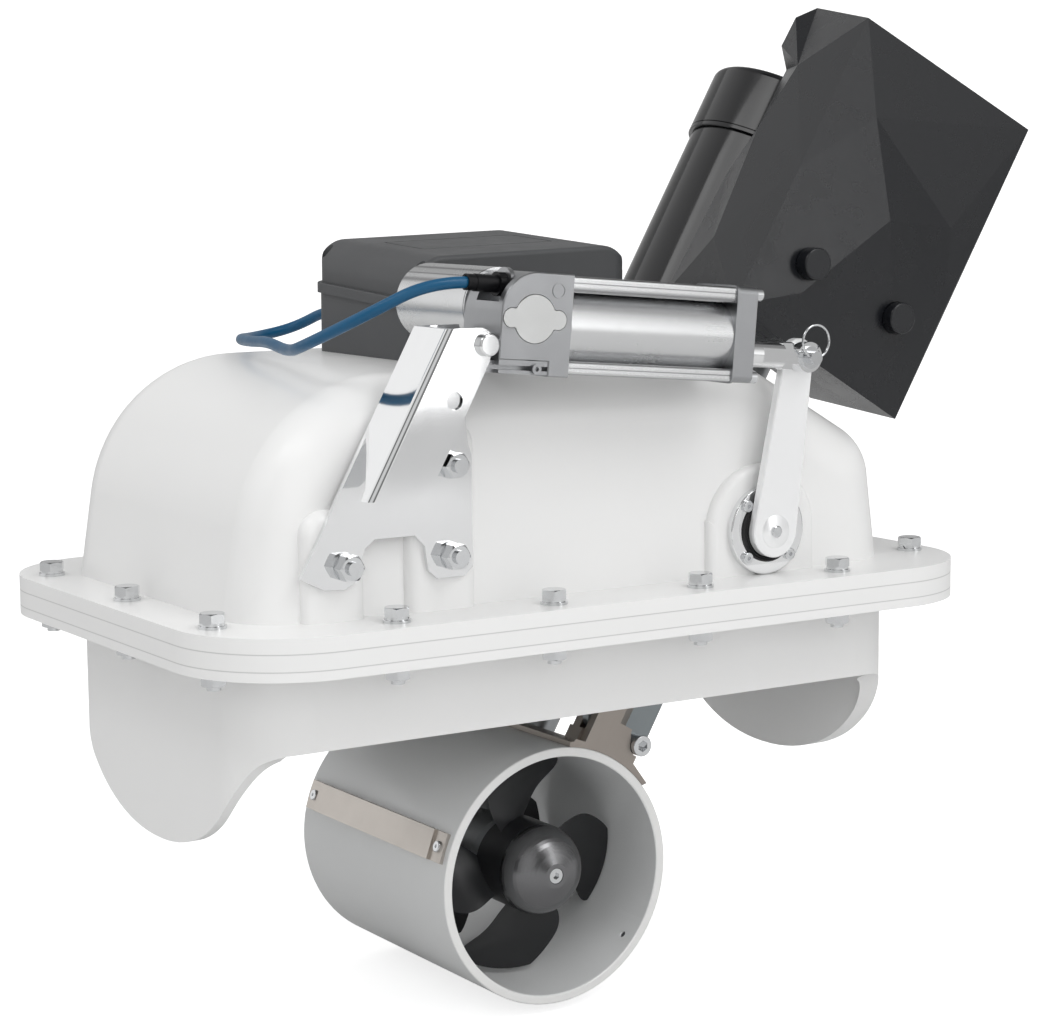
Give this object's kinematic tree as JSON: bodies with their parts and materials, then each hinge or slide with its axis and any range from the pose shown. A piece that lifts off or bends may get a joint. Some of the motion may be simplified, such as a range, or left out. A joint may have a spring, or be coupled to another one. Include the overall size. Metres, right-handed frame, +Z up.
{
  "type": "retractable bow thruster",
  "caption": "Swing-down twin-propeller bow thruster: bolted dome housing and hull trunk, tunnel on a geared leg, electric drive motor, linear actuator with crank, control box and cable.",
  "frame": {"origin": "centre of the mounting flange's top face, where the dome's flange is bolted down", "axes": "+Z up out of the hull, +X along the flange from the stowed tunnel's end towards the drive end, +Y across the boat's hull opening, away from the actuator side"},
  "size_m": [0.7622, 0.441, 0.7606],
  "materials": {
    "housing_white": "satin off-white gel coat",
    "frame_white": "off-white moulded frame",
    "stainless": "plain stainless fasteners and shafts",
    "polished_steel": "mirror-polished stainless",
    "seal_rubber": "black rubber",
    "alloy_castings": "anodised casting",
    "motor_black": "gloss black paint",
    "cover_plastic": "smooth dark grey moulding",
    "box_plastic": "fine-grained grey moulding",
    "board_resin": "green board",
    "black_plastic": "black moulding",
    "cable_blue": "satin blue sheath",
    "arm_steel": "blue-grey plate",
    "saddle_bronze": "warm grey brushed plate",
    "tunnel_composite": "light grey composite",
    "strip_steel": "satin stainless strip",
    "bush_bronze": "bearing bronze",
    "propeller_plastic": "glass-filled dark moulding",
    "nose_alloy": "satin alloy",
    "actuator_alloy": "satin cast alloy",
    "actuator_badge": "fine machined",
    "actuator_tube": "bright drawn tube"
  },
  "bodies": {
    "housing": {"housing_dome": "housing_white", "seal_frame": "frame_white", "hull_trunk": "housing_white", "flange_bolts": "stainless", "plain_washers": "stainless", "flange_lock_washers": "stainless", "hex_nuts": "stainless", "actuator_bracket": "polished_steel", "bracket_studs": "stainless", "bracket_pivot": "polished_steel", "shaft_bearings": "polished_steel", "shaft_seals": "seal_rubber", "bearing_screws": "stainless", "drive_case": "alloy_castings", "drive_screws": "stainless", "motor_can": "motor_black", "motor_cap": "motor_black", "cover_shell": "cover_plastic", "cover_knobs": "cover_plastic", "cover_plate": "cover_plastic", "box_base": "box_plastic", "box_lid": "box_plastic", "box_screws": "stainless", "circuit_board": "board_resin", "box_gland": "black_plastic", "cable": "cable_blue"},
    "swing_arm": {"crank_lever": "polished_steel", "crank_shafts": "polished_steel", "lever_bolt": "stainless", "arm_plates": "arm_steel", "arm_saddle": "saddle_bronze", "arm_bolts": "stainless", "arm_bridge": "arm_steel", "thruster_tunnel": "tunnel_composite", "door_strips": "strip_steel", "strip_screws": "stainless", "gear_leg": "alloy_castings", "leg_bushes": "bush_bronze"},
    "leg_drive": {"leg_shaft": "stainless"},
    "prop_near": {"prop_shaft_near": "stainless", "propeller_near": "propeller_plastic", "nose_cone_near": "nose_alloy", "nose_screw_near": "stainless"},
    "prop_far": {"prop_shaft_far": "stainless", "propeller_far": "propeller_plastic", "nose_cone_far": "nose_alloy", "nose_screw_far": "stainless"},
    "drive_head": {"drive_shaft": "stainless"},
    "motor_spindle": {"motor_rotor": "stainless"},
    "actuator": {"actuator_case": "actuator_alloy", "actuator_cover": "actuator_badge", "actuator_tube": "actuator_tube", "actuator_end_cap": "actuator_alloy", "actuator_tie_rods": "stainless", "actuator_motor": "actuator_tube", "actuator_gland": "black_plastic"},
    "screw_spindle": {"lead_screw": "stainless"},
    "ram": {"push_rod": "polished_steel", "rod_eye": "polished_steel", "rod_pin": "stainless"}
  },
  "joints": [
    {"name": "arm_swing", "type": "hinge", "parent": "housing", "child": "swing_arm", "pos_m": [0.141, 0, 0.034], "axis": [0, 1, 0], "range_deg": [0, 62]},
    {"name": "actuator_tilt", "type": "hinge", "parent": "housing", "child": "actuator", "pos_m": [-0.133, -0.194, 0.19], "axis": [0, 1, 0], "range_deg": [0, 11.29]},
    {"name": "rod_extend", "type": "slide", "parent": "actuator", "child": "ram", "axis": [0.9959, 0, -0.0906], "range_m": [0, 0.1198]},
    {"name": "screw_spin", "type": "hinge", "parent": "actuator", "child": "screw_spindle", "pos_m": [-0.13277, -0.194, 0.19249], "axis": [0.9959, 0, -0.0906], "range_deg": [0, 2170]},
    {"name": "motor_spin", "type": "hinge", "parent": "housing", "child": "motor_spindle", "pos_m": [0.24185, 0.048, 0.20671], "axis": [0.5042, 0, 0.8636], "continuous": true},
    {"name": "drive_spin", "type": "hinge", "parent": "housing", "child": "drive_head", "pos_m": [0.20655, 0, 0.14626], "axis": [0.5042, 0, 0.8636], "continuous": true},
    {"name": "leg_spin", "type": "hinge", "parent": "swing_arm", "child": "leg_drive", "pos_m": [0.141, 0, 0.034], "axis": [0.5042, 0, 0.8636], "continuous": true},
    {"name": "prop_near_spin", "type": "hinge", "parent": "swing_arm", "child": "prop_near", "pos_m": [-0.01153, 0, -0.22723], "axis": [0, 1, 0], "continuous": true},
    {"name": "prop_far_spin", "type": "hinge", "parent": "swing_arm", "child": "prop_far", "pos_m": [-0.01153, 0, -0.22723], "axis": [0, 1, 0], "continuous": true}
  ],
  "couplings": [
    {"joint": "actuator_tilt", "follows": "arm_swing", "ratio": 0.17722},
    {"joint": "rod_extend", "follows": "arm_swing", "m_per_rad": 0.11026},
    {"joint": "screw_spin", "follows": "arm_swing", "ratio": 34.839},
    {"joint": "drive_spin", "follows": "motor_spin", "ratio": -1.1818},
    {"joint": "leg_spin", "follows": "motor_spin", "ratio": -1.1818},
    {"joint": "prop_near_spin", "follows": "motor_spin", "ratio": -0.59091},
    {"joint": "prop_far_spin", "follows": "motor_spin", "ratio": 0.59091}
  ]
}
